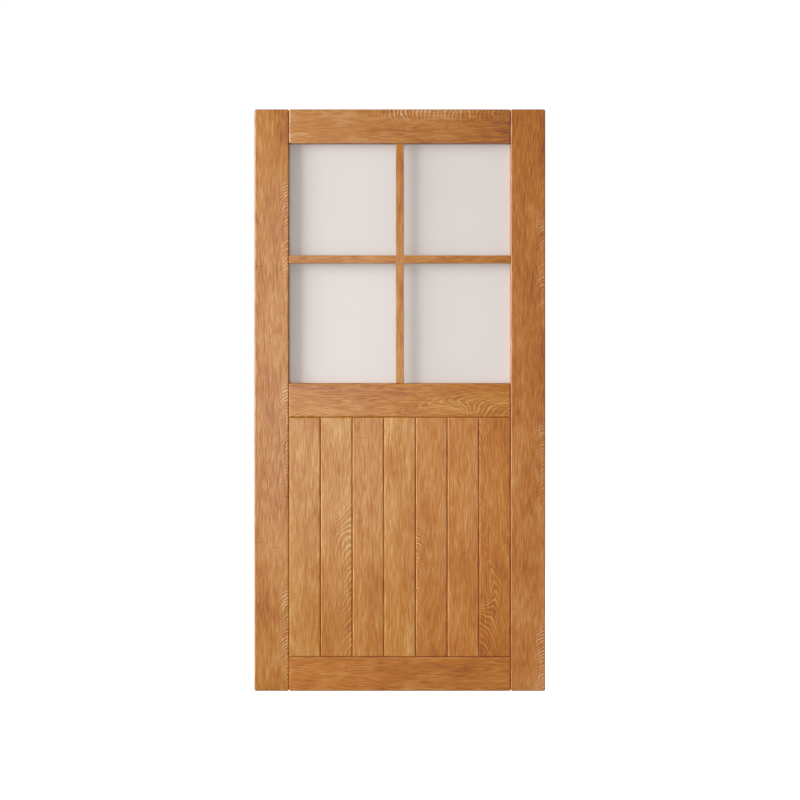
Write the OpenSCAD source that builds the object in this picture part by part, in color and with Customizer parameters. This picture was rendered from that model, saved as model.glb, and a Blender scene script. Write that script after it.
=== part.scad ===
// Leaf of a sliding barn door: stiles and rails in solid oak, V-jointed planks
// below the lock rail and a frosted four-light window above it.
// The front faces -Y, and the origin is at the middle of the bottom edge.

/* [Leaf] */
// Width over both stiles
leaf_w = 1067; // [900:1:1250]
// Height of the leaf
leaf_h = 2134; // [1980:1:2400]
// Thickness of the frame
leaf_t = 44; // [40:1:50]
// Width of the bevel on the edges of stiles, rails and planks
edge_bevel = 4.5; // [1:0.5:5]
// Depth of that bevel
edge_bevel_depth = 2.7; // [1:0.1:4]

/* [Frame] */
// Width of each stile
stile_w = 127; // [105:1:150]
// Height of the top rail
top_rail_h = 125; // [105:1:160]
// Height of the lock rail, between the window and the planks
lock_rail_h = 125; // [105:1:160]
// Height of the bottom rail
bottom_rail_h = 125; // [105:1:200]
// Height of the lock rail's middle above the bottom edge
lock_rail_mid = 1067; // [950:1:1200]

/* [Planks] */
// Number of planks side by side
plank_count = 7; // [5:1:9]
// Thickness of a plank
plank_t = 20; // [18:1:26]
// Thickness of the tongues on a plank's edges and ends
tongue_t = 6; // [5:0.5:8]
// Length of those tongues
tongue_l = 9; // [6:0.5:12]

/* [Window bars] */
// Height of the two upper lights
upper_light_h = 411; // [320:1:500]
// Face width of a bar
bar_w = 29; // [24:1:40]
// Thickness of a bar
bar_t = 10; // [8:0.5:14]
// Bevel on the edges of a bar
bar_bevel = 1; // [0.5:0.5:3]
// Length of the stub tenon at each end of a bar
bar_tenon_l = 12; // [6:1:20]
// Thickness of that tenon
bar_tenon_t = 5; // [4:0.5:6]
// Shoulder of that tenon at either side
bar_tenon_shoulder = 4; // [3:0.5:6]

/* [Glazing] */
// Thickness of the pane
glass_t = 5; // [4:0.5:6]
// Ground bevel round the pane
glass_bevel = 0.8; // [0.5:0.1:1.2]
// Width of the rebate that holds the pane
rebate_w = 12; // [10:1:16]
// Thickness of the tape under the pane
tape_t = 1; // [0.8:0.1:2]
// Width of that tape
tape_w = 8; // [6:0.5:9]
// Thickness of the beads behind the pane
bead_t = 8; // [7:0.5:10]
// Bevel on a bead's exposed edge
bead_bevel = 2; // [1:0.5:3]
// Length of each block under the pane
block_l = 60; // [40:5:100]
// Distance from the pane's side edges to those blocks
block_inset = 150; // [100:10:200]

/* [Dowels] */
// Diameter of the dowels in the rail joints
dowel_d = 16; // [10:1:18]
// Length of a dowel
dowel_l = 100; // [70:5:140]
// Height between the two dowels of a joint
dowel_spacing = 56; // [40:1:64]
// Chamfer at a dowel's ends
dowel_chamfer = 2; // [1:0.5:3]

/* [Bead pins] */
// Number of pins in each bead
pin_count = 5; // [3:1:8]
// Diameter of a pin's shank
pin_d = 1.6; // [1.2:0.1:2]
// Length of a pin from head to point
pin_l = 25; // [20:1:35]
// Diameter of a pin's head
pin_head_d = 2.6; // [2.4:0.1:3.2]
// Height of a pin's head
pin_head_h = 0.8; // [0.6:0.1:1.2]
// Depth of the head below the bead's face
pin_sink = 0.6; // [0.4:0.1:1]
// Distance from a bead's end to its first pin
pin_inset = 60; // [40:5:100]

/* [Floor guide] */
// Width of the slot in the bottom edge
guide_slot_w = 10; // [8:0.5:13]
// Depth of that slot
guide_slot_depth = 20; // [15:1:24]

/* [Clearances] */
// Gap between the shoulders of neighbouring planks
plank_gap = 0.5; // [0.2:0.1:0.8]
// Clearance on each side of a tongue in its groove
tongue_side_gap = 0.2; // [0.1:0.05:0.4]
// Room at the end of a tongue for the planks to swell
tongue_end_gap = 1; // [0.5:0.1:2]
// Clearance round a bar's shoulders, tenons and lap
bar_gap = 0.2; // [0.1:0.05:0.4]
// Room at the end of a bar's tenon
bar_end_gap = 1; // [0.5:0.1:2]
// Room between the pane's edge and the rebate
glass_edge_gap = 3; // [2:0.5:4]
// Clearance round a dowel
dowel_gap = 0.1; // [0.05:0.05:0.3]
// Room at each end of a dowel
dowel_end_gap = 2; // [1:0.5:4]
// Clearance round a pin
pin_gap = 0.05; // [0.05:0.05:0.15]

/* [Hidden] */
$fn = 48;

// How far a cutting shape runs past the surface that it opens
overrun = 5;

// Front and back of the leaf
front_y = -leaf_t / 2;
back_y = leaf_t / 2;

// Opening between the stiles
opening_w = leaf_w - 2 * stile_w;

// Planked opening between the bottom rail and the lock rail
panel_bottom = bottom_rail_h;
panel_top = lock_rail_mid - lock_rail_h / 2;
panel_h = panel_top - panel_bottom;

// Window opening between the lock rail and the top rail
window_bottom = lock_rail_mid + lock_rail_h / 2;
window_top = leaf_h - top_rail_h;
window_h = window_top - window_bottom;
window_mid = (window_top + window_bottom) / 2;

// Planks and their tongues
plank_pitch = opening_w / plank_count;
plank_w = plank_pitch - plank_gap;
plank_h = panel_h - plank_gap;
tongue_mid_y = front_y + plank_t / 2;
groove_t = tongue_t + 2 * tongue_side_gap;
groove_d = tongue_l + tongue_end_gap;

// Window bars
cross_bar_mid = window_top - upper_light_h - bar_w / 2;
bar_back_y = front_y + bar_t;
bar_lap_y = front_y + bar_t / 2;
bar_tenon_w = bar_w - 2 * bar_tenon_shoulder;

// Layers of the glazing, from the rebate's shoulder to the back
rebate_y = back_y - bead_t - glass_t - tape_t;
glass_front_y = rebate_y + tape_t;
glass_back_y = glass_front_y + glass_t;
glass_w = opening_w + 2 * (rebate_w - glass_edge_gap);
glass_h = window_h + 2 * (rebate_w - glass_edge_gap);

// Middle heights of the rails, where their dowels are centred
top_rail_mid = leaf_h - top_rail_h / 2;
bottom_rail_mid = bottom_rail_h / 2;

// Sides of the window in turn, each a quarter turn from the one before
sides = ["bottom", "left", "top", "right"];

// Length of the window opening along one side
function side_l(turn) = turn % 2 == 0 ? opening_w : window_h;

// Distance from the middle of the window to one side of its opening
function side_reach(turn) = (turn % 2 == 0 ? window_h : opening_w) / 2;

// Rectangle from the origin with its corners cut off
module cut_rectangle(w, h, cut_w, cut_h) {
    polygon([
        [cut_w, 0], [w - cut_w, 0], [w, cut_h], [w, h - cut_h],
        [w - cut_w, h], [cut_w, h], [0, h - cut_h], [0, cut_h]
    ]);
}

// Board from the origin with every edge bevelled, the depth measured along Y
module eased_board(size, bevel, depth) {
    intersection() {
        linear_extrude(size.z)
            cut_rectangle(size.x, size.y, bevel, depth);
        translate([0, size.y, 0])
            rotate([90, 0, 0])
                linear_extrude(size.y)
                    cut_rectangle(size.x, size.z, bevel, bevel);
        rotate([90, 0, 90])
            linear_extrude(size.x)
                cut_rectangle(size.y, size.z, depth, bevel);
    }
}

// Block centred on X and Z, from one depth to another
module slab(w, h, from_y, to_y) {
    translate([-w / 2, from_y, -h / 2])
        cube([w, to_y - from_y, h]);
}

// Places children on one side of the window, +X along the side and +Z to the window's middle
module on_window_side(turn) {
    translate([0, 0, window_mid])
        rotate([0, 90 * turn, 0])
            translate([0, 0, -side_reach(turn)])
                children();
}

// Places children at the middle of each dowel of one rail, with +Z along the dowel
module at_dowels(rail_mid) {
    for (side = [-1, 1])
        for (row = [-1, 1])
            translate([side * opening_w / 2, 0, rail_mid + row * dowel_spacing / 2])
                rotate([0, 90, 0])
                    children();
}

// Places children at each pin of one bead, at the bead's face with +Z along the shank
module at_pins(turn) {
    bead_l = side_l(turn) + 2 * rebate_w;
    pitch = (bead_l - 2 * pin_inset) / (pin_count - 1);
    on_window_side(turn)
        for (i = [0 : pin_count - 1])
            translate([-bead_l / 2 + pin_inset + i * pitch, glass_back_y + bead_t / 2, 0])
                rotate([180, 0, 0])
                    children();
}

// Bore for one pin, wider at the mouth for the sunk head
module pin_bore() {
    translate([0, 0, -overrun])
        cylinder(h = overrun + pin_sink + pin_head_h, d = pin_head_d + 2 * pin_gap);
    cylinder(h = pin_sink + pin_l, d = pin_d + 2 * pin_gap);
}

module pin_bores(turn) {
    at_pins(turn)
        pin_bore();
}

// Groove round the planked opening for the planks' tongues
module panel_groove() {
    translate([0, 0, (panel_bottom + panel_top) / 2])
        slab(
            opening_w + 2 * groove_d,
            panel_h + 2 * groove_d,
            tongue_mid_y - groove_t / 2,
            tongue_mid_y + groove_t / 2
        );
}

// Rebate round the window opening, open to the back
module glazing_rebate() {
    translate([0, 0, window_mid])
        slab(opening_w + 2 * rebate_w, window_h + 2 * rebate_w, rebate_y, back_y + overrun);
}

// Tenons of both bars, or their mortises where a clearance is given
module upright_tenons(gap, end_gap) {
    translate([0, 0, window_mid])
        slab(
            bar_tenon_w + 2 * gap,
            window_h + 2 * (bar_tenon_l + end_gap),
            bar_back_y - bar_tenon_t - gap,
            bar_back_y + gap
        );
}

module cross_tenons(gap, end_gap) {
    translate([0, 0, cross_bar_mid])
        slab(
            opening_w + 2 * (bar_tenon_l + end_gap),
            bar_tenon_w + 2 * gap,
            bar_back_y - bar_tenon_t - gap,
            bar_back_y + gap
        );
}

module dowel_bores() {
    for (rail_mid = [bottom_rail_mid, lock_rail_mid, top_rail_mid])
        at_dowels(rail_mid)
            cylinder(h = dowel_l + 2 * dowel_end_gap, d = dowel_d + 2 * dowel_gap, center = true);
}

// Slot along the whole bottom edge for the fin of a floor guide
module guide_slot() {
    slab(leaf_w + 2 * overrun, 2 * guide_slot_depth, -guide_slot_w / 2, guide_slot_w / 2);
}

// Everything that is cut into stiles and rails
module frame_cuts() {
    panel_groove();
    glazing_rebate();
    upright_tenons(bar_gap, bar_end_gap);
    cross_tenons(bar_gap, bar_end_gap);
    dowel_bores();
    guide_slot();
    for (turn = [0 : len(sides) - 1])
        pin_bores(turn);
}

module stile(from_x) {
    color([0.75, 0.52, 0.31])
        difference() {
            translate([from_x, front_y, 0])
                eased_board([stile_w, leaf_t, leaf_h], edge_bevel, edge_bevel_depth);
            frame_cuts();
        }
}

module left_stile() {
    stile(-leaf_w / 2);
}

module right_stile() {
    stile(leaf_w / 2 - stile_w);
}

module rail(rail_mid, rail_h) {
    color([0.72, 0.48, 0.28])
        difference() {
            translate([-opening_w / 2, front_y, rail_mid - rail_h / 2])
                eased_board([opening_w, leaf_t, rail_h], edge_bevel, edge_bevel_depth);
            frame_cuts();
        }
}

module top_rail() {
    rail(top_rail_mid, top_rail_h);
}

module lock_rail() {
    rail(lock_rail_mid, lock_rail_h);
}

module bottom_rail() {
    rail(bottom_rail_mid, bottom_rail_h);
}

// Plank with end tongues and a tongue on its right edge; the first one has a left tongue
// for the stile, and each of the others a groove for its neighbour's tongue
module plank(i) {
    left_x = -opening_w / 2 + (i - 1) * plank_pitch + plank_gap / 2;
    left_tongue = i == 1 ? tongue_l : 0;
    foot_z = panel_bottom + plank_gap / 2;
    color([0.76, 0.53, 0.3])
        difference() {
            union() {
                translate([left_x, front_y, foot_z])
                    eased_board([plank_w, plank_t, plank_h], edge_bevel, edge_bevel_depth);
                translate([left_x - left_tongue, tongue_mid_y - tongue_t / 2, foot_z - tongue_l])
                    cube([plank_w + left_tongue + tongue_l, tongue_t, plank_h + 2 * tongue_l]);
            }
            if (i > 1)
                translate([left_x - overrun, tongue_mid_y - groove_t / 2, foot_z - groove_d])
                    cube([overrun + groove_d, groove_t, plank_h + 2 * groove_d]);
        }
}

module upright_blank() {
    translate([-bar_w / 2, front_y, window_bottom + bar_gap])
        eased_board([bar_w, bar_t, window_h - 2 * bar_gap], bar_bevel, bar_bevel);
}

module cross_blank() {
    translate([-opening_w / 2 + bar_gap, front_y, cross_bar_mid - bar_w / 2])
        eased_board([opening_w - 2 * bar_gap, bar_t, bar_w], bar_bevel, bar_bevel);
}

// The upright keeps the front half of the lap, where the bevels of both bars meet in mitres
module upright_bar() {
    color([0.74, 0.51, 0.3])
        difference() {
            union() {
                upright_blank();
                upright_tenons(0, 0);
                intersection() {
                    cross_blank();
                    translate([0, 0, cross_bar_mid])
                        slab(bar_w, bar_w, front_y, bar_back_y);
                }
            }
            translate([0, 0, cross_bar_mid])
                slab(bar_w + 2 * overrun, bar_w + 2 * bar_gap, bar_lap_y, bar_back_y + overrun);
        }
}

// The cross bar keeps the back half of the lap
module cross_bar() {
    color([0.74, 0.51, 0.3])
        difference() {
            union() {
                cross_blank();
                cross_tenons(0, 0);
            }
            translate([0, 0, cross_bar_mid])
                slab(bar_w + 2 * bar_gap, bar_w + 2 * overrun, front_y - overrun, bar_lap_y);
        }
}

// One frosted pane behind both bars
module glass_pane() {
    color([0.89, 0.86, 0.84])
        translate([-glass_w / 2, glass_front_y, window_mid - glass_h / 2])
            eased_board([glass_w, glass_t, glass_h], glass_bevel, glass_bevel);
}

// Two blocks that carry the pane on the lower side of the rebate
module setting_blocks() {
    color([0.16, 0.16, 0.17])
        for (side = [-1, 1])
            translate([
                side * (glass_w / 2 - block_inset - block_l / 2) - block_l / 2,
                glass_front_y,
                window_bottom - rebate_w
            ])
                cube([block_l, glass_t, glass_edge_gap]);
}

// Tape on the rebate's shoulder; the upright strips fit between the level ones
module glazing_tape(turn) {
    strip_l = side_l(turn) + (turn % 2 == 0 ? 2 * tape_w : 0);
    color([0.2, 0.2, 0.2])
        on_window_side(turn)
            translate([-strip_l / 2, rebate_y, -tape_w])
                cube([strip_l, tape_t, tape_w]);
}

// Bead with mitred ends and a bevel on its exposed edge
module bead(turn) {
    bead_l = side_l(turn) + 2 * rebate_w;
    color([0.72, 0.49, 0.29])
        difference() {
            on_window_side(turn)
                intersection() {
                    translate([0, glass_back_y + bead_t, 0])
                        rotate([90, 0, 0])
                            linear_extrude(bead_t)
                                polygon([
                                    [-bead_l / 2, -rebate_w], [bead_l / 2, -rebate_w],
                                    [bead_l / 2 - rebate_w, 0], [rebate_w - bead_l / 2, 0]
                                ]);
                    translate([-bead_l / 2, glass_back_y, 0])
                        rotate([90, 0, 90])
                            linear_extrude(bead_l)
                                polygon([
                                    [0, -rebate_w], [bead_t, -rebate_w], [bead_t, -bead_bevel],
                                    [bead_t - bead_bevel, 0], [0, 0]
                                ]);
                }
            pin_bores(turn);
        }
}

// One pin from its head's top downwards: head, shank and point
module pin() {
    point_l = pin_d;
    cylinder(h = pin_head_h, d = pin_head_d);
    cylinder(h = pin_l - point_l, d = pin_d);
    translate([0, 0, pin_l - point_l])
        cylinder(h = point_l, d1 = pin_d, d2 = 0);
}

module bead_pins() {
    color([0.62, 0.6, 0.56])
        for (turn = [0 : len(sides) - 1])
            at_pins(turn)
                translate([0, 0, pin_sink])
                    pin();
}

// Beech dowels of one rail, with chamfered ends
module rail_dowels(rail_mid) {
    body_l = dowel_l - 2 * dowel_chamfer;
    tip_d = dowel_d - 2 * dowel_chamfer;
    color([0.82, 0.66, 0.46])
        at_dowels(rail_mid) {
            cylinder(h = body_l, d = dowel_d, center = true);
            translate([0, 0, body_l / 2])
                cylinder(h = dowel_chamfer, d1 = dowel_d, d2 = tip_d);
            translate([0, 0, -dowel_l / 2])
                cylinder(h = dowel_chamfer, d1 = tip_d, d2 = dowel_d);
        }
}

left_stile();
right_stile();
top_rail();
lock_rail();
bottom_rail();
for (i = [1 : plank_count])
    plank(i);
upright_bar();
cross_bar();
glass_pane();
setting_blocks();
for (turn = [0 : len(sides) - 1])
    glazing_tape(turn);
for (turn = [0 : len(sides) - 1])
    bead(turn);
bead_pins();
rail_dowels(top_rail_mid);  // top_rail_dowels
rail_dowels(lock_rail_mid);  // lock_rail_dowels
rail_dowels(bottom_rail_mid);  // bottom_rail_dowels
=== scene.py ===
# %% [markdown]
# A planked oak door with a frosted window
#
# This lesson dresses a finished joiner's model of a sliding barn door. The solids come from the
# imported frame: stiles, rails, planks, window bars, glass and beads, each already at its real size.
# What is left for Blender is the finish, and on a door like this the finish is the wood. The first
# cell loads the frame and keeps its box.

# %% Load the frame
import math

import bmesh
import bpy
from mathutils import Matrix, Vector


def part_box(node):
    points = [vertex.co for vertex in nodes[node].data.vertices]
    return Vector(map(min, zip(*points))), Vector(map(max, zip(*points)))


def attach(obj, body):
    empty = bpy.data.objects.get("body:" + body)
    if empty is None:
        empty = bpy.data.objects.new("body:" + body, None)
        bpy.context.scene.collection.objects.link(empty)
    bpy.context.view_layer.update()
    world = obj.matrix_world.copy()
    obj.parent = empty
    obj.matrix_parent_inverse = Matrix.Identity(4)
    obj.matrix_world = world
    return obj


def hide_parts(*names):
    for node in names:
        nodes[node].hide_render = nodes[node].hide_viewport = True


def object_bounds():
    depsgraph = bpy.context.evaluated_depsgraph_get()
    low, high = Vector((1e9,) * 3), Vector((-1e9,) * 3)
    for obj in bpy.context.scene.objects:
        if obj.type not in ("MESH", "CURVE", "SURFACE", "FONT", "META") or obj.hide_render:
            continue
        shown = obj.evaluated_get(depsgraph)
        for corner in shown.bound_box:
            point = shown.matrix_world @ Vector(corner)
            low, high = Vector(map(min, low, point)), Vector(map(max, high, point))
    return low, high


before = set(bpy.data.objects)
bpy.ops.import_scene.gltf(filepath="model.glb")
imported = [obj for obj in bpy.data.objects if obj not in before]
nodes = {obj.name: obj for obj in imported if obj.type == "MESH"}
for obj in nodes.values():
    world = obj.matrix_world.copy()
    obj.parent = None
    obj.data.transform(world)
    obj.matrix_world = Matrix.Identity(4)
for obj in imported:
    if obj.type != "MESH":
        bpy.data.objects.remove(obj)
cad_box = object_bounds()
scene = bpy.context.scene
scene.view_settings.view_transform = "Standard"


def rounded_box(box):
    """A box's two corners, to a tenth of a millimetre."""
    return [[round(c, 4) for c in corner] for corner in box]


print("nodes:", len(nodes), "box:", rounded_box(cad_box))

# %% [markdown]
# The camera stands straight in front of the leaf, level with its middle, and far enough away for
# the edges to stay parallel, as in a catalogue picture. A long lens does that: the distance is
# chosen first, and the focal length follows from how much of the wall the frame has to take in.

# %% Camera
CAMERA_DISTANCE = 7.0
LEAF_SHARE_OF_FRAME = 581.8 / 800.0
CAMERA_OFFSET = Vector((0.0007, 0.0, 0.0006))

leaf_low = Vector(cad_box[0])
leaf_high = Vector(cad_box[1])
leaf_mid = (leaf_low + leaf_high) / 2
frame_height = (leaf_high.z - leaf_low.z) / LEAF_SHARE_OF_FRAME

camera_data = bpy.data.cameras.new("catalogue_camera")
camera = bpy.data.objects.new("catalogue_camera", camera_data)
scene.collection.objects.link(camera)
scene.camera = camera
camera.location = Vector((leaf_mid.x, leaf_low.y - CAMERA_DISTANCE, leaf_mid.z)) + CAMERA_OFFSET
camera.rotation_euler = (math.radians(90), 0, 0)
camera_data.sensor_fit = "VERTICAL"
camera_data.lens = camera_data.sensor_height * CAMERA_DISTANCE / frame_height
print("lens:", round(camera_data.lens, 1), "mm over", round(frame_height, 3), "m of wall")

# %% [markdown]
# Materials are node trees, and a tree in script form is easiest to read as arithmetic. These few
# helpers let a cell say calc(tree, "MULTIPLY", a, b) and get a socket back, whether a and b are
# plain numbers or the outputs of other nodes.

# %% Arithmetic in node trees


def feed(tree, socket, value):
    """Links an output to a socket, or writes a plain value into it."""
    if isinstance(value, bpy.types.NodeSocket):
        tree.links.new(value, socket)
    else:
        socket.default_value = value


def calc(tree, operation, *terms, kind="ShaderNodeMath"):
    """One step of arithmetic on numbers or outputs."""
    node = tree.nodes.new(kind)
    node.operation = operation
    for socket, term in zip(node.inputs, terms):
        feed(tree, socket, term)
    return node.outputs[0]


def vector_calc(tree, operation, *terms):
    """One step of arithmetic on vectors or colours."""
    return calc(tree, operation, *terms, kind="ShaderNodeVectorMath")


def total(tree, *terms):
    """Sum of any number of terms."""
    result = terms[0]
    for term in terms[1:]:
        result = calc(tree, "ADD", result, term)
    return result


def split(tree, vector):
    """The parts X, Y and Z of a vector."""
    node = tree.nodes.new("ShaderNodeSeparateXYZ")
    tree.links.new(vector, node.inputs[0])
    return node.outputs


print("arithmetic:", [helper.__name__ for helper in (feed, calc, vector_calc, total, split)])

# %% [markdown]
# Wood also needs soft shapes and chance. A step rises smoothly from 0 to 1, a band rises and falls
# again, a bell and a patch fade out around a place, and noise is the chance. Each noise is stretched
# by its cycles per metre along every axis, and its seed keeps it the same from run to run.

# %% Soft shapes and noise


def step(tree, value, start, end):
    """Smooth rise from 0 at start to 1 at end."""
    node = tree.nodes.new("ShaderNodeMapRange")
    node.interpolation_type = "SMOOTHSTEP"
    feed(tree, node.inputs["Value"], value)
    node.inputs["From Min"].default_value = start
    node.inputs["From Max"].default_value = end
    return node.outputs["Result"]


def band(tree, value, rise, fall):
    """Smooth rise from 0 to 1, and a fall from 1 to 0 given from its end to its start."""
    return calc(tree, "MULTIPLY", step(tree, value, *rise), step(tree, value, *fall))


def bell(tree, value, centre, reach):
    """Bell curve of height 1 around a centre."""
    offset = calc(tree, "DIVIDE", calc(tree, "SUBTRACT", value, centre), reach)
    square = calc(tree, "MULTIPLY", offset, offset)
    return calc(tree, "EXPONENT", calc(tree, "MULTIPLY", square, -1.0))


def patch(tree, across, along, middle, reach):
    """Soft patch of a board, with its middle and reach given across and along."""
    width = bell(tree, across, middle[0], reach[0])
    length = bell(tree, along, middle[1], reach[1])
    return calc(tree, "MULTIPLY", width, length)


def noise(tree, place, stretch, seed, detail=2.0):
    """Noise over a place, with cycles per metre along each axis."""
    node = tree.nodes.new("ShaderNodeTexNoise")
    node.noise_dimensions = "4D"
    feed(tree, node.inputs["Vector"], vector_calc(tree, "MULTIPLY", place, stretch))
    feed(tree, node.inputs["W"], seed)
    node.inputs["Scale"].default_value = 1.0
    node.inputs["Detail"].default_value = detail
    return node.outputs


def ripple(tree, place, stretch, seed, detail=2.0):
    """Noise around zero, from about -0.5 to 0.5."""
    return calc(tree, "SUBTRACT", noise(tree, place, stretch, seed, detail)["Fac"], 0.5)


def drift(tree, place, stretch, seed, detail=2.0):
    """Noise around zero in three directions."""
    colour = noise(tree, place, stretch, seed, detail)["Color"]
    return vector_calc(tree, "SUBTRACT", colour, (0.5, 0.5, 0.5))


print("soft shapes:", [helper.__name__ for helper in (step, band, bell, patch, noise, ripple, drift)])

# %% [markdown]
# Oak is not a picture glued to a board: it is a slice of a log, so its grain is worked out in three
# dimensions and runs round every edge without a seam. It is a stack of layers, and this cell makes
# them one by one. Every yearly ring ends in a thin pale line, and no two rings are equally strong.
# Fibres, streaks and clouds of stain follow the grain, open pores are short dark strokes, and a ray
# fleck crosses the grain here and there. The bevels are made paler, partly as wear and partly as a
# painted highlight, and the V-joint where the bevels of two boards meet is made darker, partly as
# stain and partly as painted shade.

# %% Layers of the oak
LINE_START = (0.35, 0.80)
LINE_END = (1.00, 0.86)
RING_LEAST = 0.4
RING_SPREAD = 0.6

FIBRE_STRETCH = (280.0, 280.0, 22.0)
STREAK_STRETCH = (60.0, 60.0, 8.0)
CLOUD_STRETCH = (11.0, 11.0, 4.0)
PORE_STRETCH = (800.0, 800.0, 40.0)
FLECK_STRETCH = (22.0, 22.0, 260.0)
FIBRE_SEED = 17.0
STREAK_SEED = 23.0
CLOUD_SEED = 31.0
PORE_SEED = 41.0
FLECK_SEED = 53.0
FIBRE_DETAIL = 3.0
PORE_DETAIL = 1.0
FLECK_DETAIL = 0.0
PORE_LEVEL = (0.58, 0.70)
FLECK_LEVEL = (0.77, 0.84)

# Joint band: darkens the V-joint, partly stain and partly painted shade.
JOINT_STAIN_AND_SHADE_START = (0.0006, 0.0020)
JOINT_STAIN_AND_SHADE_END = (0.0060, 0.0040)
# Wear band: paler bevels, partly wear and partly a painted highlight.
WEAR_AND_HIGHLIGHT_START = (0.0001, 0.0006)
WEAR_AND_HIGHLIGHT_END = (0.0026, 0.0016)


def ring_lines(tree, rings, vivid):
    """Pale lines at the ends of the rings, from a count of rings."""
    line = band(tree, calc(tree, "FRACT", rings), LINE_START, LINE_END)
    draw = tree.nodes.new("ShaderNodeTexWhiteNoise")
    draw.noise_dimensions = "1D"
    feed(tree, draw.inputs["W"], calc(tree, "FLOOR", rings))
    strength = calc(tree, "MULTIPLY_ADD", draw.outputs["Value"], RING_SPREAD, RING_LEAST)
    line = calc(tree, "MULTIPLY", line, strength)
    return calc(tree, "MULTIPLY", line, vivid)


def stain_layers(tree, place, seed):
    """Fibres, streaks and clouds, each around zero."""
    fibre = ripple(tree, place, FIBRE_STRETCH, calc(tree, "ADD", seed, FIBRE_SEED), FIBRE_DETAIL)
    streak = ripple(tree, place, STREAK_STRETCH, calc(tree, "ADD", seed, STREAK_SEED))
    cloud = ripple(tree, place, CLOUD_STRETCH, calc(tree, "ADD", seed, CLOUD_SEED))
    return fibre, streak, cloud


def dark_marks(tree, place, seed):
    """Pores and ray flecks, each from 0 to 1."""
    pores = noise(tree, place, PORE_STRETCH, calc(tree, "ADD", seed, PORE_SEED), PORE_DETAIL)
    flecks = noise(tree, place, FLECK_STRETCH, calc(tree, "ADD", seed, FLECK_SEED), FLECK_DETAIL)
    return step(tree, pores["Fac"], *PORE_LEVEL), step(tree, flecks["Fac"], *FLECK_LEVEL)


def bevel_marks(tree, below_face):
    """Joint stain and painted shade, bevel wear and painted highlight, 0 to 1 by depth below face."""
    joint_stain_and_shade = band(tree, below_face, JOINT_STAIN_AND_SHADE_START, JOINT_STAIN_AND_SHADE_END)
    wear_and_highlight = band(tree, below_face, WEAR_AND_HIGHLIGHT_START, WEAR_AND_HIGHLIGHT_END)
    return joint_stain_and_shade, wear_and_highlight


print("layers:", [layer.__name__ for layer in (ring_lines, stain_layers, dark_marks, bevel_marks)])

# %% [markdown]
# All boards share one node group that adds the layers up to a tone, from dark to pale, and looks the
# tone up in a ramp of oak colours. It is told where a point lies in the board, with Z along the
# grain, how many rings lie between it and the pith, and how vivid the figure is there. Boards from
# different trees differ in hue, so each may lean to gold, with less red and more green, or to ash,
# with more blue. Oil fills the wood but not its pores and dark fibres, which stay a little rougher.

# %% The oak surface
OAK_NUMBERS = ("Rings", "Vivid", "Seed", "Shade", "Gold", "Ash", "Below Face")

LINE_GAIN = 0.42
FIBRE_GAIN = 1.50
STREAK_GAIN = 0.26
CLOUD_GAIN = 0.76
PORE_GAIN = 0.14
FLECK_GAIN = 0.22
# Darkening in the joint: stain and painted shade.
JOINT_STAIN_AND_SHADE_GAIN = 0.42
# Paling on the bevels: wear and a painted highlight.
WEAR_AND_HIGHLIGHT_GAIN = 0.24
GROUND_GAIN = 0.05

OAK_STOPS = (
    (0.00, (0.205, 0.036, 0.016)),
    (0.12, (0.305, 0.092, 0.007)),
    (0.30, (0.386, 0.126, 0.010)),
    (0.50, (0.452, 0.174, 0.028)),
    (0.70, (0.510, 0.234, 0.058)),
    (1.00, (0.625, 0.362, 0.152)),
)
GOLD_SHARE = 0.5

OIL_ROUGHNESS = 0.25
PORE_ROUGHNESS = 0.14
FIBRE_ROUGHNESS = 0.20
WEAR_ROUGHNESS = 0.06
FIBRE_HEIGHT = 0.8
PORE_DEPTH = 1.0
LINE_HEIGHT = 0.4


def oak_colour(tree, tone, gold, ash):
    """Colour of a tone, with the board's own lean in hue."""
    ramp = tree.nodes.new("ShaderNodeValToRGB")
    feed(tree, ramp.inputs["Fac"], tone)
    while len(ramp.color_ramp.elements) < len(OAK_STOPS):
        ramp.color_ramp.elements.new(0.5)
    for stop, (position, colour) in zip(ramp.color_ramp.elements, OAK_STOPS):
        stop.position = position
        stop.color = (*colour, 1.0)
    lean = tree.nodes.new("ShaderNodeCombineXYZ")
    feed(tree, lean.inputs["X"], calc(tree, "MULTIPLY_ADD", gold, -GOLD_SHARE, 1.0))
    feed(tree, lean.inputs["Y"], calc(tree, "MULTIPLY_ADD", gold, GOLD_SHARE, 1.0))
    feed(tree, lean.inputs["Z"], calc(tree, "ADD", ash, 1.0))
    return vector_calc(tree, "MULTIPLY", ramp.outputs["Color"], lean.outputs["Vector"])


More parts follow.
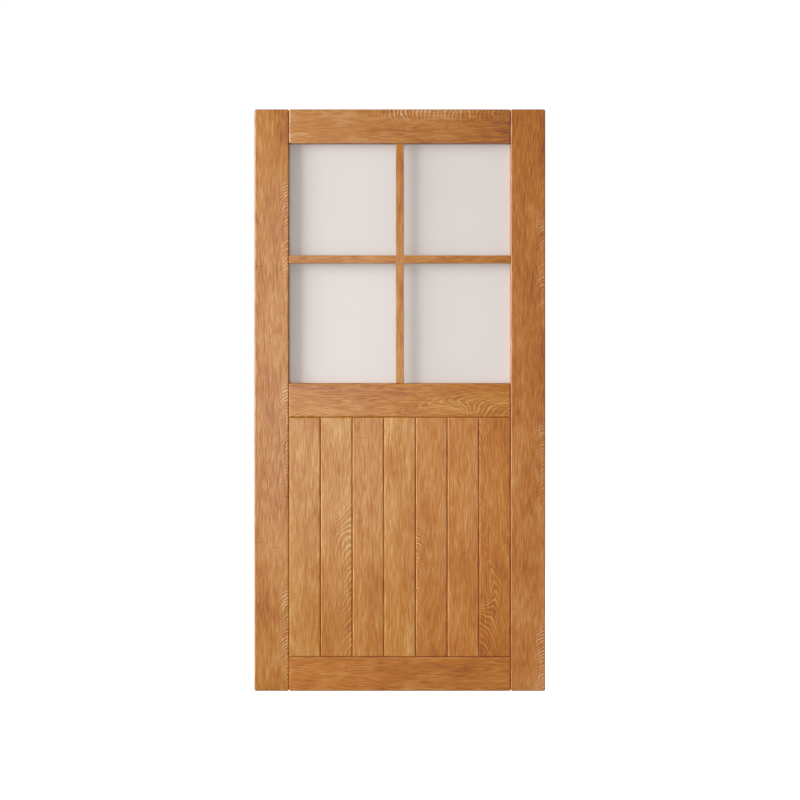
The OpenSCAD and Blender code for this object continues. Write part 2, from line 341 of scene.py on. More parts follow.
def build_oak_surface():
    tree = bpy.data.node_groups.new("oak_surface", "ShaderNodeTree")
    tree.interface.new_socket("Place", in_out="INPUT", socket_type="NodeSocketVector")
    for name in OAK_NUMBERS:
        tree.interface.new_socket(name, in_out="INPUT", socket_type="NodeSocketFloat")
    tree.interface.new_socket("Color", in_out="OUTPUT", socket_type="NodeSocketColor")
    tree.interface.new_socket("Roughness", in_out="OUTPUT", socket_type="NodeSocketFloat")
    tree.interface.new_socket("Height", in_out="OUTPUT", socket_type="NodeSocketFloat")
    given = tree.nodes.new("NodeGroupInput").outputs

    line = ring_lines(tree, given["Rings"], given["Vivid"])
    fibre, streak, cloud = stain_layers(tree, given["Place"], given["Seed"])
    pores, flecks = dark_marks(tree, given["Place"], given["Seed"])
    joint_stain_and_shade, wear_and_highlight = bevel_marks(tree, given["Below Face"])

    # The ground is a little darker where the figure is vivid, so that its lines stand out
    layers = (
        (line, LINE_GAIN),
        (fibre, FIBRE_GAIN),
        (streak, STREAK_GAIN),
        (cloud, CLOUD_GAIN),
        (pores, -PORE_GAIN),
        (flecks, -FLECK_GAIN),
        # Stain and painted shade in the joint
        (joint_stain_and_shade, -JOINT_STAIN_AND_SHADE_GAIN),
        # Wear and a painted highlight on the bevel
        (wear_and_highlight, WEAR_AND_HIGHLIGHT_GAIN),
        (given["Vivid"], -GROUND_GAIN),
    )
    tone = given["Shade"]
    for layer, gain in layers:
        tone = calc(tree, "MULTIPLY_ADD", layer, gain, tone)

    roughness = calc(tree, "MULTIPLY_ADD", pores, PORE_ROUGHNESS, OIL_ROUGHNESS)
    roughness = calc(tree, "MULTIPLY_ADD", fibre, -FIBRE_ROUGHNESS, roughness)
    roughness = calc(tree, "MULTIPLY_ADD", wear_and_highlight, WEAR_ROUGHNESS, roughness)
    height = calc(tree, "MULTIPLY", fibre, FIBRE_HEIGHT)
    height = calc(tree, "MULTIPLY_ADD", pores, -PORE_DEPTH, height)
    height = calc(tree, "MULTIPLY_ADD", line, LINE_HEIGHT, height)

    result = tree.nodes.new("NodeGroupOutput").inputs
    feed(tree, result["Color"], oak_colour(tree, tone, given["Gold"], given["Ash"]))
    feed(tree, result["Roughness"], roughness)
    feed(tree, result["Height"], height)
    return tree


oak_surface = build_oak_surface()
print("oak_surface:", len(oak_surface.nodes), "nodes")

# %% [markdown]
# What makes one board differ from another is its figure: how the rings cross its face. A figure
# here is a function that adds nodes to a board's tree and hands back a ring count and a vividness.
# Straight grain is the plain case, a board cut well away from the pith. Its rings are circles round
# a distant pith, so they run almost straight along the board and hardly show.

# %% Straight figure
RING_WIDTH = 0.0065
STRAIGHT_VIVID = 0.18


def straight(pith):
    """Rings round a pith that lies across and behind the board's middle."""
    def figure(tree, place, across, depth, along, seed):
        side = calc(tree, "SUBTRACT", across, pith[0])
        back = calc(tree, "SUBTRACT", depth, pith[1])
        squares = calc(tree, "MULTIPLY_ADD", side, side, calc(tree, "MULTIPLY", back, back))
        rings = calc(tree, "DIVIDE", calc(tree, "SQRT", squares), RING_WIDTH)
        return rings, STRAIGHT_VIVID
    return figure


print("straight figure: a ring every", RING_WIDTH, "m")

# %% [markdown]
# Feathered grain is what a branch leaves beside it. The rings swing round the branch and run out
# over one edge of the board as a row of short strokes, flattest in the fan next to the branch and
# steeper above it. A long board may pass several branches, so the figure can repeat. A slow drift
# and a quick flutter keep the strokes from looking combed.

# %% Feathered figure
STROKE_STEP = 0.015
STROKE_LEAN = 1.1
STROKE_CURVE = 0.070
STROKE_STEEPEN = 1.6
STEEPEN_ABOVE = (0.02, 0.16)
FAN_FLATTEN = 0.9
FAN_REACH = 0.05
FAN_PATCH = ((0.012, 0.02), (0.034, 0.05))
DEPTH_LEAN = 1.5

REPEAT_ABOVE_FAN = 0.4
REPEAT_BELOW_FAN = 0.6
DRIFT_STRETCH = (12.0, 12.0, 9.0)
DRIFT_SEED = 3.0
DRIFT_ACROSS = 0.016
DRIFT_ALONG = 0.030
FLUTTER_STRETCH = (30.0, 30.0, 30.0)
FLUTTER_SEED = 6.0
FLUTTER = 1.6

ROW_REACH = 0.034
ROW_START = (0.10, 0.02)
ROW_ABOVE_FAN = 0.25
ROW_END = (-0.48, -0.30)
FEATHERED_GROUND = 0.15


def feathered(edge, fan, scale=1.0, repeat=None, vivid=1.0, lean=STROKE_LEAN, row_share=1.0):
    """Strokes that run out over an edge of the board.

    Edge is that edge's place across and fan the fan's place along, both from the board's middle.
    Scale sizes the figure, repeat is the length from fan to fan, lean the slope of the strokes,
    and row_share the strength of the row of strokes against the fan.
    """
    side = math.copysign(1.0, edge)

    def figure(tree, place, across, depth, along, seed):
        inward = calc(tree, "MULTIPLY_ADD", across, -side / scale, abs(edge) / scale)
        above = calc(tree, "MULTIPLY_ADD", along, 1.0 / scale, -fan / scale)
        if repeat:
            top = REPEAT_ABOVE_FAN * repeat / scale
            bottom = -REPEAT_BELOW_FAN * repeat / scale
            above = calc(tree, "WRAP", above, top, bottom)
        drift_stretch = tuple(s / scale for s in DRIFT_STRETCH)
        swing = split(tree, drift(tree, place, drift_stretch, seed + DRIFT_SEED, detail=1.0))
        inward = calc(tree, "MULTIPLY_ADD", swing["X"], DRIFT_ACROSS, inward)
        above = calc(tree, "MULTIPLY_ADD", swing["Z"], DRIFT_ALONG, above)

        slope = calc(tree, "MULTIPLY_ADD", bell(tree, above, 0.0, FAN_REACH), -FAN_FLATTEN * lean, lean)
        slope = calc(tree, "MULTIPLY_ADD", step(tree, above, *STEEPEN_ABOVE), STROKE_STEEPEN, slope)
        curve = calc(tree, "MULTIPLY", inward, inward)
        swung = calc(tree, "MULTIPLY_ADD", inward, slope, above)
        swung = calc(tree, "MULTIPLY_ADD", curve, 1.0 / STROKE_CURVE, swung)
        swung = calc(tree, "MULTIPLY_ADD", depth, DEPTH_LEAN, swung)
        rings = calc(tree, "DIVIDE", swung, -STROKE_STEP)
        flutter_stretch = tuple(s / scale for s in FLUTTER_STRETCH)
        flutter = ripple(tree, place, flutter_stretch, seed + FLUTTER_SEED, detail=1.0)
        rings = calc(tree, "MULTIPLY_ADD", flutter, FLUTTER, rings)

        row = step(tree, above, *ROW_START)
        row = calc(tree, "MULTIPLY_ADD", row, 1.0 - ROW_ABOVE_FAN, ROW_ABOVE_FAN)
        row = calc(tree, "MULTIPLY", row, step(tree, above, *ROW_END))
        row = calc(tree, "MULTIPLY", bell(tree, inward, 0.0, ROW_REACH), row)
        shown = calc(tree, "MULTIPLY_ADD", row, row_share, patch(tree, inward, above, *FAN_PATCH))
        return rings, calc(tree, "MULTIPLY_ADD", shown, vivid, FEATHERED_GROUND)
    return figure


print("feathered figure: a stroke every", STROKE_STEP, "m")

# %% [markdown]
# The show figure is the flame: nested arches that open along the board. Its rings are easiest to
# describe by a ridge that wanders across the board. On the ridge the arches follow one another at an
# even step and crowd together at the foot. To either side they drop away, steeply on the right and,
# at the foot, hesitantly on the left, where a low swell lifts them into curls.

# %% Flame figure
FLAME_SHIFT = 0.045
FLAME_STEP = 0.036
FLAME_WOBBLE = 0.060
WOBBLE_STRETCH = (9.0, 9.0, 9.0)

RIDGE_FAR = -0.066
RIDGE_NEAR = -0.006
RIDGE_PLACE = -0.250
RIDGE_LENGTH = 0.190
RIDGE_ROUND = 0.010
RIGHT_SLOPE = 3.0
RIGHT_STEEPEN = 1.0
RIGHT_STEEPEN_ALONG = (-0.06, 0.12)
LEFT_SLOPE = 0.35
LEFT_STEEPEN = 4.4
LEFT_STEEPEN_ALONG = (-0.335, -0.235)
SWELL = 0.040
SWELL_PATCH = ((-0.062, -0.355), (0.018, 0.08))
CROWD_BELOW = -0.32
CROWDING = 0.9

HEART_PATCH = ((-0.03, -0.28), (0.05, 0.24))
CORNER_PATCH = ((-0.05, 0.36), (0.03, 0.12))
CORNER_SHARE = 0.9
FLAME_GROUND = 0.22


def flame(vivid):
    """Arches along a ridge, shown in the board's heart and once more in its far corner."""
    def figure(tree, place, across, depth, along, seed):
        along = calc(tree, "SUBTRACT", along, FLAME_SHIFT)
        wobble = calc(tree, "MULTIPLY", ripple(tree, place, WOBBLE_STRETCH, seed), FLAME_WOBBLE)
        ridge = bell(tree, along, RIDGE_PLACE, RIDGE_LENGTH)
        ridge = calc(tree, "MULTIPLY_ADD", ridge, RIDGE_NEAR - RIDGE_FAR, RIDGE_FAR)
        away = calc(tree, "SUBTRACT", across, ridge)
        distance = calc(tree, "SQRT", calc(tree, "MULTIPLY_ADD", away, away, RIDGE_ROUND ** 2))
        right = calc(tree, "MULTIPLY", calc(tree, "ADD", distance, away), 0.5)
        left = calc(tree, "MULTIPLY", calc(tree, "SUBTRACT", distance, away), 0.5)

        right_slope = step(tree, along, *RIGHT_STEEPEN_ALONG)
        right_slope = calc(tree, "MULTIPLY_ADD", right_slope, RIGHT_STEEPEN, RIGHT_SLOPE)
        left_slope = step(tree, along, *LEFT_STEEPEN_ALONG)
        left_slope = calc(tree, "MULTIPLY_ADD", left_slope, LEFT_STEEPEN, LEFT_SLOPE)
        drop = calc(tree, "MULTIPLY", right, right_slope)
        drop = calc(tree, "MULTIPLY_ADD", left, left_slope, drop)
        drop = calc(tree, "MULTIPLY_ADD", patch(tree, across, along, *SWELL_PATCH), -SWELL, drop)
        crowd = calc(tree, "MINIMUM", calc(tree, "SUBTRACT", along, CROWD_BELOW), 0.0)
        crowd = calc(tree, "MULTIPLY", crowd, CROWDING)
        inside = calc(tree, "MULTIPLY", depth, DEPTH_LEAN)
        rings = calc(tree, "DIVIDE", total(tree, along, crowd, drop, wobble, inside), FLAME_STEP)

        heart = patch(tree, across, along, *HEART_PATCH)
        corner = patch(tree, across, along, *CORNER_PATCH)
        shown = calc(tree, "MULTIPLY_ADD", corner, CORNER_SHARE, heart)
        return rings, calc(tree, "MULTIPLY_ADD", shown, vivid, FLAME_GROUND)
    return figure


print("flame figure: an arch every", FLAME_STEP, "m")

# %% [markdown]
# A board straight from the machine has arrises that could cut a hand, so a joiner eases them with
# a few strokes of fine paper. The rounding is a millimetre or so, less on the thin window bars, yet
# it is what catches the light along every joint. The frame's mesh stays as it is: a merged copy
# gets a small bevel on its long outer edges only, and stands in for the node. Its faces are shaded
# flat, because smooth shading would make a planed board look like a cushion.

# %% Easing a board's arrises
EASE_WIDTH = 0.0010
BAR_EASE_WIDTH = 0.0003
EASE_SEGMENTS = 4
CORNER_ANGLE = math.radians(25)
SHORTEST_ARRIS = 0.012
MERGE_DISTANCE = 1e-5
FLAT_ANGLE = math.radians(0.5)


def baked(raw):
    """Takes an object with modifiers, and leaves a plain mesh under the same name."""
    evaluated = raw.evaluated_get(bpy.context.evaluated_depsgraph_get())
    mesh = bpy.data.meshes.new_from_object(evaluated)
    raw.modifiers.clear()
    raw.data = mesh
    return raw


def eased(node, width):
    """A copy of a node's mesh, merged and with its long arrises rounded."""
    work = bmesh.new()
    work.from_mesh(nodes[node].data)
    bmesh.ops.remove_doubles(work, verts=work.verts, dist=MERGE_DISTANCE)
    bmesh.ops.dissolve_limit(work, angle_limit=FLAT_ANGLE, verts=work.verts, edges=work.edges)
    weight = work.edges.layers.float.new("bevel_weight_edge")
    for edge in work.edges:
        corner = edge.is_manifold and edge.calc_face_angle() > CORNER_ANGLE
        arris = corner and edge.is_convex and edge.calc_length() > SHORTEST_ARRIS
        edge[weight] = 1.0 if arris else 0.0
    for face in work.faces:
        face.smooth = False
    mesh = bpy.data.meshes.new(node + "_eased")
    work.to_mesh(mesh)
    work.free()

    board = bpy.data.objects.new(node + "_eased", mesh)
    scene.collection.objects.link(board)
    ease = board.modifiers.new("ease", "BEVEL")
    ease.limit_method = "WEIGHT"
    ease.width = width
    ease.segments = EASE_SEGMENTS
    return baked(board)


def stands_for(piece, node):
    """Puts a new piece in a node's place, on the leaf's one body."""
    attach(piece, "root")
    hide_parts(node)


print("easing:", EASE_WIDTH, "m on boards,", BAR_EASE_WIDTH, "m on bars and beads")

# %% [markdown]
# Every finish starts alike: a new material with its shader, a place read in Object coordinates, and
# now and then a bump. A bump only tilts the light on fibres and pores, which are far too fine to be
# modelled.

# %% Starting a finish


def new_material(name):
    """A fresh material, with its tree and its shader."""
    material = bpy.data.materials.new(name)
    material.use_nodes = True
    return material, material.node_tree, material.node_tree.nodes["Principled BSDF"]


def object_place(tree):
    """A point's place in Object coordinates."""
    return tree.nodes.new("ShaderNodeTexCoord").outputs["Object"]


def bumped(tree, shader, height, strength, distance):
    """Lets a height tilt the light on a surface."""
    bump = tree.nodes.new("ShaderNodeBump")
    bump.inputs["Strength"].default_value = strength
    bump.inputs["Distance"].default_value = distance
    tree.links.new(height, bump.inputs["Height"])
    tree.links.new(bump.outputs["Normal"], shader.inputs["Normal"])


def dress(piece, material):
    """Makes a material the only one on a piece."""
    piece.data.materials.clear()
    piece.data.materials.append(material)


# %% [markdown]
# Each board is its own slice. This function turns the object's coordinates into the board's own,
# with the grain running up stiles and planks and along rails, bends them a little because no tree
# grows straight, and passes them through the board's figure to the shared oak surface.

# %% One oak finish per board
UP = Matrix.Identity(3)
ALONG = Matrix(((0, 0, 1), (0, 1, 0), (-1, 0, 0)))
BEND_STRETCH = (2.5, 2.5, 3.0)
BEND = (0.016, 0.008, 0.0)
WAVER_STRETCH = (18.0, 18.0, 12.0)
WAVER = (0.004, 0.003, 0.0)
OAK_BUMP_STRENGTH = 0.25
OAK_BUMP_DISTANCE = 0.0006
OAK_SPECULAR = 0.25


def bent(tree, flat, seed):
    """A place moved by a slow bend and a quicker waver."""
    bend = drift(tree, flat, BEND_STRETCH, seed, detail=1.0)
    place = vector_calc(tree, "ADD", flat, vector_calc(tree, "MULTIPLY", bend, BEND))
    waver = drift(tree, flat, WAVER_STRETCH, seed)
    return vector_calc(tree, "ADD", place, vector_calc(tree, "MULTIPLY", waver, WAVER))


def oak_board(node, grain, figure, seed, shade=0.50, fade=0.0, gold=0.0, ash=0.0, ease=EASE_WIDTH):
    """An eased board with an oak finish of its own.

    Shade is the tone at the board's middle and fade its change per metre along the grain.
    Gold and ash are the board's lean in hue.
    """
    low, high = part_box(node)
    material, tree, shader = new_material("oak_" + node)
    turned = tree.nodes.new("ShaderNodeMapping")
    turned.inputs["Rotation"].default_value = grain.to_euler()
    turned.inputs["Location"].default_value = -(grain @ ((low + high) / 2))
    tree.links.new(object_place(tree), turned.inputs["Vector"])
    flat = turned.outputs["Vector"]
    place = bent(tree, flat, seed)
    rings, vivid = figure(tree, place, *split(tree, place), seed)

    surface = tree.nodes.new("ShaderNodeGroup")
    surface.node_tree = oak_surface
    feed(tree, surface.inputs["Place"], place)
    feed(tree, surface.inputs["Rings"], rings)
    feed(tree, surface.inputs["Vivid"], vivid)
    surface.inputs["Seed"].default_value = seed
    surface.inputs["Gold"].default_value = gold
    surface.inputs["Ash"].default_value = ash
    unbent = split(tree, flat)
    feed(tree, surface.inputs["Shade"], calc(tree, "MULTIPLY_ADD", unbent["Z"], fade, shade))
    below_face = calc(tree, "SUBTRACT", (high.y - low.y) / 2, calc(tree, "ABSOLUTE", unbent["Y"]))
    feed(tree, surface.inputs["Below Face"], below_face)

    tree.links.new(surface.outputs["Color"], shader.inputs["Base Color"])
    tree.links.new(surface.outputs["Roughness"], shader.inputs["Roughness"])
    shader.inputs["Specular IOR Level"].default_value = OAK_SPECULAR
    bumped(tree, shader, surface.outputs["Height"], OAK_BUMP_STRENGTH, OAK_BUMP_DISTANCE)

    board = eased(node, ease)
    dress(board, material)
    stands_for(board, node)
    print(material.name + ":", len(tree.nodes), "nodes,", len(board.data.polygons), "faces")


print("grain runs up or along, bent by up to", max(BEND) / 2, "m")

# %% [markdown]
# The stiles are cut so close to the branches that their right edges are full of small curls. The
# top rail has the same curls and a fan along its upper edge, the lock rail carries a flame that
# opens to the right, and the bottom rail is plain.

# %% Frame boards
FRAME_EDGE = 0.062
CURLS = {"scale": 0.8, "repeat": 0.75, "vivid": 1.4, "lean": 0.35, "row_share": 1.5}
left_curls = feathered(FRAME_EDGE, fan=0.020, **CURLS)
right_curls = feathered(FRAME_EDGE, fan=-0.110, **CURLS)
top_fan = feathered(FRAME_EDGE, fan=0.0, vivid=1.2, lean=-0.8, row_share=1.3)
bottom_grain = straight(pith=(0.22, 0.16))

oak_board("left_stile", UP, left_curls, seed=1.7, shade=0.40, gold=0.08, ash=0.22)
oak_board("right_stile", UP, right_curls, seed=5.2, shade=0.39, fade=-0.13, gold=-0.01, ash=0.25)
oak_board("top_rail", ALONG, top_fan, seed=9.4, shade=0.38, fade=0.40, gold=0.09, ash=0.50)
oak_board("lock_rail", ALONG, flame(vivid=1.3), seed=12.8, shade=0.42, gold=0.02, ash=-0.16)
oak_board("bottom_rail", ALONG, bottom_grain, seed=16.1, shade=0.38, fade=0.25, gold=-0.015)

# %% [markdown]
# Of the planks, the last one is the show piece with a tall flame, the second has a wide fan at its
# right edge and the fifth a small one at its left. The others are cut further from the pith and stay
# quiet.

# %% Planks
PLANK_EDGE = 0.058
wide_fan = feathered(PLANK_EDGE, fan=0.020, scale=1.6)
small_fan = feathered(-PLANK_EDGE, fan=-0.005, scale=0.8, vivid=1.6)

oak_board("plank_1", UP, straight(pith=(-0.30, 0.15)), seed=21.3, shade=0.51, fade=-0.18, gold=0.07)
oak_board("plank_2", UP, wide_fan, seed=24.9, shade=0.53, fade=0.28, gold=0.05)
oak_board("plank_3", UP, straight(pith=(-0.25, 0.18)), seed=28.4, shade=0.535, gold=0.02)
oak_board("plank_4", UP, straight(pith=(-0.30, 0.14)), seed=32.6, shade=0.57, gold=0.02, ash=-0.08)
oak_board("plank_5", UP, small_fan, seed=36.2, shade=0.47, fade=0.25, gold=-0.01)
oak_board("plank_6", UP, straight(pith=(0.26, 0.15)), seed=40.7, shade=0.535, gold=-0.03)
oak_board("plank_7", UP, flame(vivid=1.2), seed=44.5, shade=0.38, fade=0.20, gold=-0.05, ash=-0.12)

# %% [markdown]
# The window bars and the beads behind the glass are thin sticks, ripped from straight stuff because
# curly grain would make them warp. They get the same oak as the boards, with a finer easing: a
# millimetre of rounding would eat a good part of such a stick.

# %% Window bars and glazing beads
BEAD_PITH_DEPTH = 0.10
BEADS = (
    ("bead_bottom", ALONG, 55.6, 0.16),
    ("bead_top", ALONG, 58.8, -0.16),
    ("bead_left", UP, 61.4, 0.14),
    ("bead_right", UP, 64.9, -0.14),
)
bar_grain = straight(pith=(0.15, 0.08))

oak_board("upright_bar", UP, bar_grain, seed=48.3, shade=0.44, gold=0.05, ease=BAR_EASE_WIDTH)
oak_board("cross_bar", ALONG, bar_grain, seed=52.1, shade=0.43, gold=0.05, ease=BAR_EASE_WIDTH)
for bead, grain, seed, pith_across in BEADS:
    bead_grain = straight(pith=(pith_across, BEAD_PITH_DEPTH))
    oak_board(bead, grain, bead_grain, seed, ease=BAR_EASE_WIDTH)

# %% [markdown]
# The pane is etched glass: pale, a little warm, and so satin that it shows no picture of the room.
# Most of its light is scattered at the surface, and a small share comes through from behind. Its
# colour is a touch paler towards the bottom, which is painted light, and a slow haze varies its tone.

# %% Frosted glass
# Painted light: the pane's colour runs from the darker to the paler end towards the bottom.
GLASS_DARKER_END = (0.700, 0.676, 0.682, 1.0)
GLASS_PALER_END = (0.770, 0.746, 0.752, 1.0)
PAINTED_LIGHT_SHARE = 0.55
ETCH_STRETCH = (900.0, 900.0, 900.0)
ETCH_SEED = 2.0
HAZE_STRETCH = (3.0, 3.0, 3.0)
HAZE_SEED = 5.0
ETCH_ROUGHNESS = 0.12
GLASS_ROUGHNESS = 0.60
GLASS_BUMP_STRENGTH = 0.08
GLASS_BUMP_DISTANCE = 0.0004
GLASS_TRANSMISSION = 0.10
GLASS_IOR = 1.5
GLASS_SPECULAR = 0.3


def mixed(tree, factor, first, second):
    """A colour between two others."""
    node = tree.nodes.new("ShaderNodeMix")
    node.data_type = "RGBA"
    tree.links.new(factor, node.inputs["Factor"])
    node.inputs["A"].default_value = first
    node.inputs["B"].default_value = second
    return node.outputs["Result"]


def frosted_glass():
    material, tree, shader = new_material("frosted_glass")
    place = object_place(tree)
    etch = noise(tree, place, ETCH_STRETCH, ETCH_SEED)["Fac"]
    haze = noise(tree, place, HAZE_STRETCH, HAZE_SEED, detail=1.0)["Fac"]
    low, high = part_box("glass_pane")
    # Painted light, paler towards the bottom, mixed with a slow haze of random tone
    painted_light_and_haze = calc(tree, "MULTIPLY", step(tree, split(tree, place)["Z"], high.z, low.z), PAINTED_LIGHT_SHARE)
    painted_light_and_haze = calc(tree, "MULTIPLY_ADD", haze, 1.0 - PAINTED_LIGHT_SHARE, painted_light_and_haze)
    tree.links.new(mixed(tree, painted_light_and_haze, GLASS_DARKER_END, GLASS_PALER_END), shader.inputs["Base Color"])
    roughness = calc(tree, "MULTIPLY_ADD", etch, ETCH_ROUGHNESS, GLASS_ROUGHNESS)
    tree.links.new(roughness, shader.inputs["Roughness"])
    bumped(tree, shader, etch, GLASS_BUMP_STRENGTH, GLASS_BUMP_DISTANCE)
    shader.inputs["Transmission Weight"].default_value = GLASS_TRANSMISSION
    shader.inputs["IOR"].default_value = GLASS_IOR
    shader.inputs["Specular IOR Level"].default_value = GLASS_SPECULAR
    print(material.name + ":", len(tree.nodes), "nodes")
    return material


dress(nodes["glass_pane"], frosted_glass())

# %% [markdown]
# Small things that hardly show still get their own finish: foam tape, rubber blocks and beech
# dowels. One function makes a grainy material from a colour and a roughness.

# %% Tape, blocks and dowels
GRAIN_SEED = 3.0
GRAIN_DARK = 0.8
GRAIN_PALE = 1.2
GRAIN_ROUGHNESS = 0.2
SIDES = ("bottom", "left", "top", "right")
RAILS = ("top_rail", "lock_rail", "bottom_rail")


def grainy(name, colour, roughness, stretch, metallic=0.0):
    """A colour with a grain of darker and paler, smoother and rougher specks."""
    material, tree, shader = new_material(name)
    grain = noise(tree, object_place(tree), stretch, GRAIN_SEED)["Fac"]
    dark = (*(c * GRAIN_DARK for c in colour), 1.0)
    pale = (*(c * GRAIN_PALE for c in colour), 1.0)
    tree.links.new(mixed(tree, grain, dark, pale), shader.inputs["Base Color"])
    rough = calc(tree, "MULTIPLY_ADD", grain, GRAIN_ROUGHNESS, roughness - GRAIN_ROUGHNESS / 2)
    tree.links.new(rough, shader.inputs["Roughness"])
    shader.inputs["Metallic"].default_value = metallic
    return material


foam_tape = grainy("foam_tape", (0.03, 0.03, 0.03), roughness=0.85, stretch=(700.0, 700.0, 700.0))
block_rubber = grainy("block_rubber", (0.025, 0.025, 0.027), roughness=0.7, stretch=(500.0, 500.0, 500.0))
beech = grainy("beech", (0.60, 0.38, 0.20), roughness=0.55, stretch=(8.0, 400.0, 400.0))
for side in SIDES:
    dress(nodes["glazing_tape_" + side], foam_tape)
dress(nodes["setting_blocks"], block_rubber)
for rail in RAILS:
    dress(nodes[rail + "_dowels"], beech)
print("small finishes:", foam_tape.name, block_rubber.name, beech.name)

# %% [markdown]
# Twenty panel pins hold the beads, five to a side, each driven from the window's edge through the
# bead into the frame, with its domed head set just below the wood. What repeats along a line is
# work for Geometry Nodes. First come the lines: one edge for every bead, from its first pin to its
# last, and on each point the way into the wood.

# %% Rows of bead pins
PIN_INSET = 0.060
PIN_SINK = 0.0006
X = 0
Z = 2
ROWS = (("bottom", Z, -1), ("left", X, -1), ("top", Z, 1), ("right", X, 1))


def pin_rows():
    """One edge per bead, from its first pin's head to its last one's."""
    points = []
    ways = []
    for side, axis, sign in ROWS:
        low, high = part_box("bead_" + side)
        run = Z - axis
        way = Vector((0, 0, 0))
        way[axis] = sign
        for end in (low[run] + PIN_INSET, high[run] - PIN_INSET):
            point = (low + high) / 2
            point[run] = end
            point[axis] = (high if sign < 0 else low)[axis] + sign * PIN_SINK
            points.append(point)
            ways.append(way)
    mesh = bpy.data.meshes.new("bead_panel_pins")
    mesh.from_pydata(points, [(i, i + 1) for i in range(0, len(points), 2)], [])
    into_wood = mesh.attributes.new("into_wood", "FLOAT_VECTOR", "POINT")
    for value, way in zip(into_wood.data, ways):
        value.vector = way
    rows = bpy.data.objects.new("bead_panel_pins", mesh)
    scene.collection.objects.link(rows)
    return rows


pins = pin_rows()
print("rows of pins:", len(pins.data.edges))

# %% [markdown]
# The tree then steps along every row and turns a pin into the wood at each stop. The pin is joined
# from a flattened ball for the head, a cylinder for the shank and a cone for the tip, all sized by
# the tree's own inputs. The result is baked to a plain mesh and stands for the pins of the frame.

# %% Pins along the rows
PINS_PER_BEAD = 5
PIN_SIZES = {"Length": 0.025, "Shank": 0.0016, "Head": 0.0026, "Head Height": 0.0008}
HEAD_SEGMENTS = 16
HEAD_RINGS = 8
SHANK_SIDES = 12


def tree_node(tree, kind, **given):
    """Adds a node and feeds its inputs by name."""
    node = tree.nodes.new(kind)
    for name, value in given.items():
        feed(tree, node.inputs[name.replace("_", " ")], value)
    return node


def raised(tree, geometry, height, flat=1.0):
    """Moves a piece of the pin along its axis, after flattening it."""
    shift = tree_node(tree, "ShaderNodeCombineXYZ", Z=height)
    shape = tree_node(tree, "ShaderNodeCombineXYZ", X=1.0, Y=1.0, Z=flat)
    moved = tree_node(tree, "GeometryNodeTransform", Geometry=geometry,
                      Translation=shift.outputs[0], Scale=shape.outputs[0])
    return moved.outputs["Geometry"]


def one_pin(tree, given):
    """A pin with its head at the origin and its tip up the Z axis."""
    shank_radius = calc(tree, "MULTIPLY", given["Shank"], 0.5)
    head_radius = calc(tree, "MULTIPLY", given["Head"], 0.5)
    head_middle = calc(tree, "MULTIPLY", given["Head Height"], 0.5)
    straight_end = calc(tree, "SUBTRACT", given["Length"], given["Shank"])
    shank_length = calc(tree, "SUBTRACT", straight_end, head_middle)
    shank_middle = calc(tree, "MULTIPLY", total(tree, straight_end, head_middle), 0.5)
    flat = calc(tree, "DIVIDE", given["Head Height"], given["Head"])
    ball = tree_node(tree, "GeometryNodeMeshUVSphere", Segments=HEAD_SEGMENTS, Rings=HEAD_RINGS,
                     Radius=head_radius)
    rod = tree_node(tree, "GeometryNodeMeshCylinder", Vertices=SHANK_SIDES, Radius=shank_radius,
                    Depth=shank_length)
    tip = tree_node(tree, "GeometryNodeMeshCone", Vertices=SHANK_SIDES, Radius_Top=0.0,
                    Radius_Bottom=shank_radius, Depth=given["Shank"])
    pin = tree.nodes.new("GeometryNodeJoinGeometry")
    tree.links.new(raised(tree, ball.outputs["Mesh"], head_middle, flat), pin.inputs[0])
    tree.links.new(raised(tree, rod.outputs["Mesh"], shank_middle), pin.inputs[0])
    tree.links.new(raised(tree, tip.outputs["Mesh"], straight_end), pin.inputs[0])
    return pin.outputs[0]


def pin_tree(material):
    """Pins at even stops along the rows, as real geometry in one material."""
    tree = bpy.data.node_groups.new("pins_along_rows", "GeometryNodeTree")
    tree.interface.new_socket("Geometry", in_out="INPUT", socket_type="NodeSocketGeometry")
    tree.interface.new_socket("Pins", in_out="INPUT", socket_type="NodeSocketInt")
    for name in PIN_SIZES:
        tree.interface.new_socket(name, in_out="INPUT", socket_type="NodeSocketFloat")
    tree.interface.new_socket("Geometry", in_out="OUTPUT", socket_type="NodeSocketGeometry")
    given = tree.nodes.new("NodeGroupInput").outputs

    row = tree_node(tree, "GeometryNodeMeshToCurve", Mesh=given["Geometry"])
    stops = tree_node(tree, "GeometryNodeResampleCurve", Curve=row.outputs[0], Count=given["Pins"])
    way = tree_node(tree, "GeometryNodeInputNamedAttribute", Name="into_wood")
    way.data_type = "FLOAT_VECTOR"
    turn = tree.nodes.new("FunctionNodeAlignRotationToVector")
    tree.links.new(way.outputs["Attribute"], turn.inputs["Vector"])
    driven = tree_node(tree, "GeometryNodeInstanceOnPoints", Points=stops.outputs[0],
                       Instance=one_pin(tree, given), Rotation=turn.outputs[0])
    real = tree_node(tree, "GeometryNodeRealizeInstances", Geometry=driven.outputs[0])
    steel = tree_node(tree, "GeometryNodeSetMaterial", Geometry=real.outputs[0], Material=material)
    tree.links.new(steel.outputs[0], tree.nodes.new("NodeGroupOutput").inputs["Geometry"])
    return tree


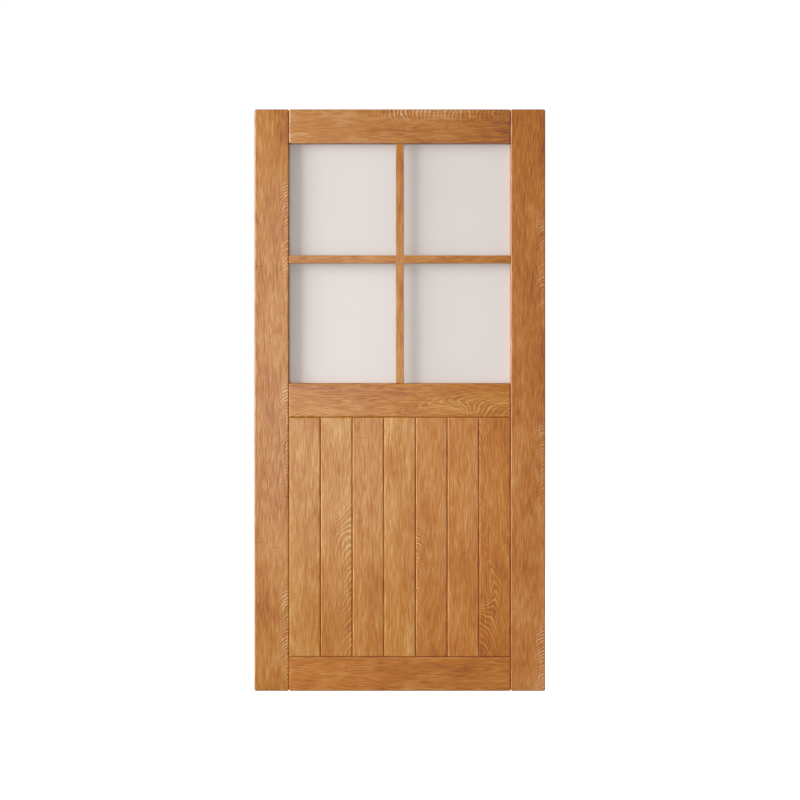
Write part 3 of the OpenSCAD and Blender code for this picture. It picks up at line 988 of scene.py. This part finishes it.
pin_steel = grainy("pin_steel", (0.45, 0.43, 0.40), roughness=0.35, stretch=(900.0, 900.0, 900.0),
                   metallic=1.0)
drive = pins.modifiers.new("drive", "NODES")
drive.node_group = pin_tree(pin_steel)
for socket in drive.node_group.interface.items_tree:
    if socket.in_out == "INPUT" and socket.name == "Pins":
        drive[socket.identifier] = PINS_PER_BEAD
    if socket.in_out == "INPUT" and socket.name in PIN_SIZES:
        drive[socket.identifier] = PIN_SIZES[socket.name]
baked(pins)
stands_for(pins, "bead_pins")
pin_points = [vertex.co for vertex in pins.data.vertices]
pin_box = [[pick(p[axis] for p in pin_points) for axis in range(3)] for pick in (min, max)]
print("pins:", rounded_box(pin_box))

# %% [markdown]
# The stage is a pale floor just under the hung leaf. It glows almost white where the camera looks at
# it, also by way of gloss and glass, but only almost: the rest is lit by the lamps, and so the leaf
# keeps a soft shadow there.

# %% Floor
FLOOR_GAP = 0.012
FLOOR_SIZE = 60.0
FLOOR_GLOW = 0.94
FLOOR_GREY = (0.34, 0.34, 0.34, 1.0)
FLOOR_ROUGHNESS = 0.9
WHITE = (1.0, 1.0, 1.0, 1.0)


def seen_rays(tree):
    """1 for what the camera sees, also by way of gloss and glass, and 0 for other light."""
    path = tree.nodes.new("ShaderNodeLightPath").outputs
    seen = calc(tree, "MAXIMUM", path["Is Camera Ray"], path["Is Glossy Ray"])
    return calc(tree, "MAXIMUM", seen, path["Is Transmission Ray"])


half = FLOOR_SIZE / 2
floor_z = leaf_low.z - FLOOR_GAP
corners = [(x * half, y * half, floor_z) for x, y in ((-1, -1), (1, -1), (1, 1), (-1, 1))]
floor_mesh = bpy.data.meshes.new("floor")
floor_mesh.from_pydata(corners, [], [(0, 1, 2, 3)])
floor = bpy.data.objects.new("floor", floor_mesh)
scene.collection.objects.link(floor)

floor_material, floor_tree, floor_shader = new_material("studio_floor")
floor_shader.inputs["Base Color"].default_value = FLOOR_GREY
floor_shader.inputs["Roughness"].default_value = FLOOR_ROUGHNESS
floor_shader.inputs["Emission Color"].default_value = WHITE
floor_glow = calc(floor_tree, "MULTIPLY", seen_rays(floor_tree), FLOOR_GLOW)
floor_tree.links.new(floor_glow, floor_shader.inputs["Emission Strength"])
dress(floor, floor_material)
print("floor at", round(floor_z, 4), "m")

# %% [markdown]
# The world is white to the camera too. To the door it is a far weaker and warmer fill, like light
# that has gone round a room before it gets here.

# %% World
FILL_STRENGTH = 0.35
FILL_COLOUR = (1.0, 0.83, 0.62, 1.0)

world = bpy.data.worlds.new("studio")
scene.world = world
world.use_nodes = True
world_tree = world.node_tree
background = world_tree.nodes["Background"]
seen = seen_rays(world_tree)
strength = calc(world_tree, "MULTIPLY_ADD", seen, 1.0 - FILL_STRENGTH, FILL_STRENGTH)
world_tree.links.new(mixed(world_tree, seen, FILL_COLOUR, WHITE), background.inputs["Color"])
world_tree.links.new(strength, background.inputs["Strength"])
print("world:", world.name, "with a fill of", FILL_STRENGTH)

# %% [markdown]
# The light comes from the left, as the shadows on the glass tell. A large box well to the side rakes
# the face and glints on every bevel that faces it. A small one next to the camera gives the oil
# finish its soft sheen, a weak one overhead lifts the bevels that face up, and a last one keeps the
# back from going dark.

# %% Lights


def softbox(name, azimuth, elevation, distance, size, power):
    """Area light aimed at the leaf's middle; azimuth counts from the front towards the left."""
    data = bpy.data.lights.new(name, "AREA")
    data.shape = "RECTANGLE"
    data.size = size[0]
    data.size_y = size[1]
    data.energy = power
    light = bpy.data.objects.new(name, data)
    scene.collection.objects.link(light)
    turn = math.radians(azimuth)
    rise = math.radians(elevation)
    level = math.cos(rise)
    towards = Vector((-math.sin(turn) * level, -math.cos(turn) * level, math.sin(rise)))
    light.location = leaf_mid + towards * distance
    light.rotation_euler = towards.to_track_quat("Z", "Y").to_euler()
    light.visible_camera = False
    print(name + ":", power, "W at", [round(c, 2) for c in light.location])


softbox("raking_box", azimuth=69.5, elevation=11.0, distance=7.0, size=(3.3, 3.6), power=640.0)
softbox("front_box", azimuth=6.5, elevation=1.5, distance=6.4, size=(1.2, 2.9), power=106.0)
softbox("top_box", azimuth=6.0, elevation=55.0, distance=9.0, size=(4.3, 2.2), power=60.0)
softbox("back_box", azimuth=200.0, elevation=20.0, distance=5.0, size=(2.4, 2.4), power=130.0)
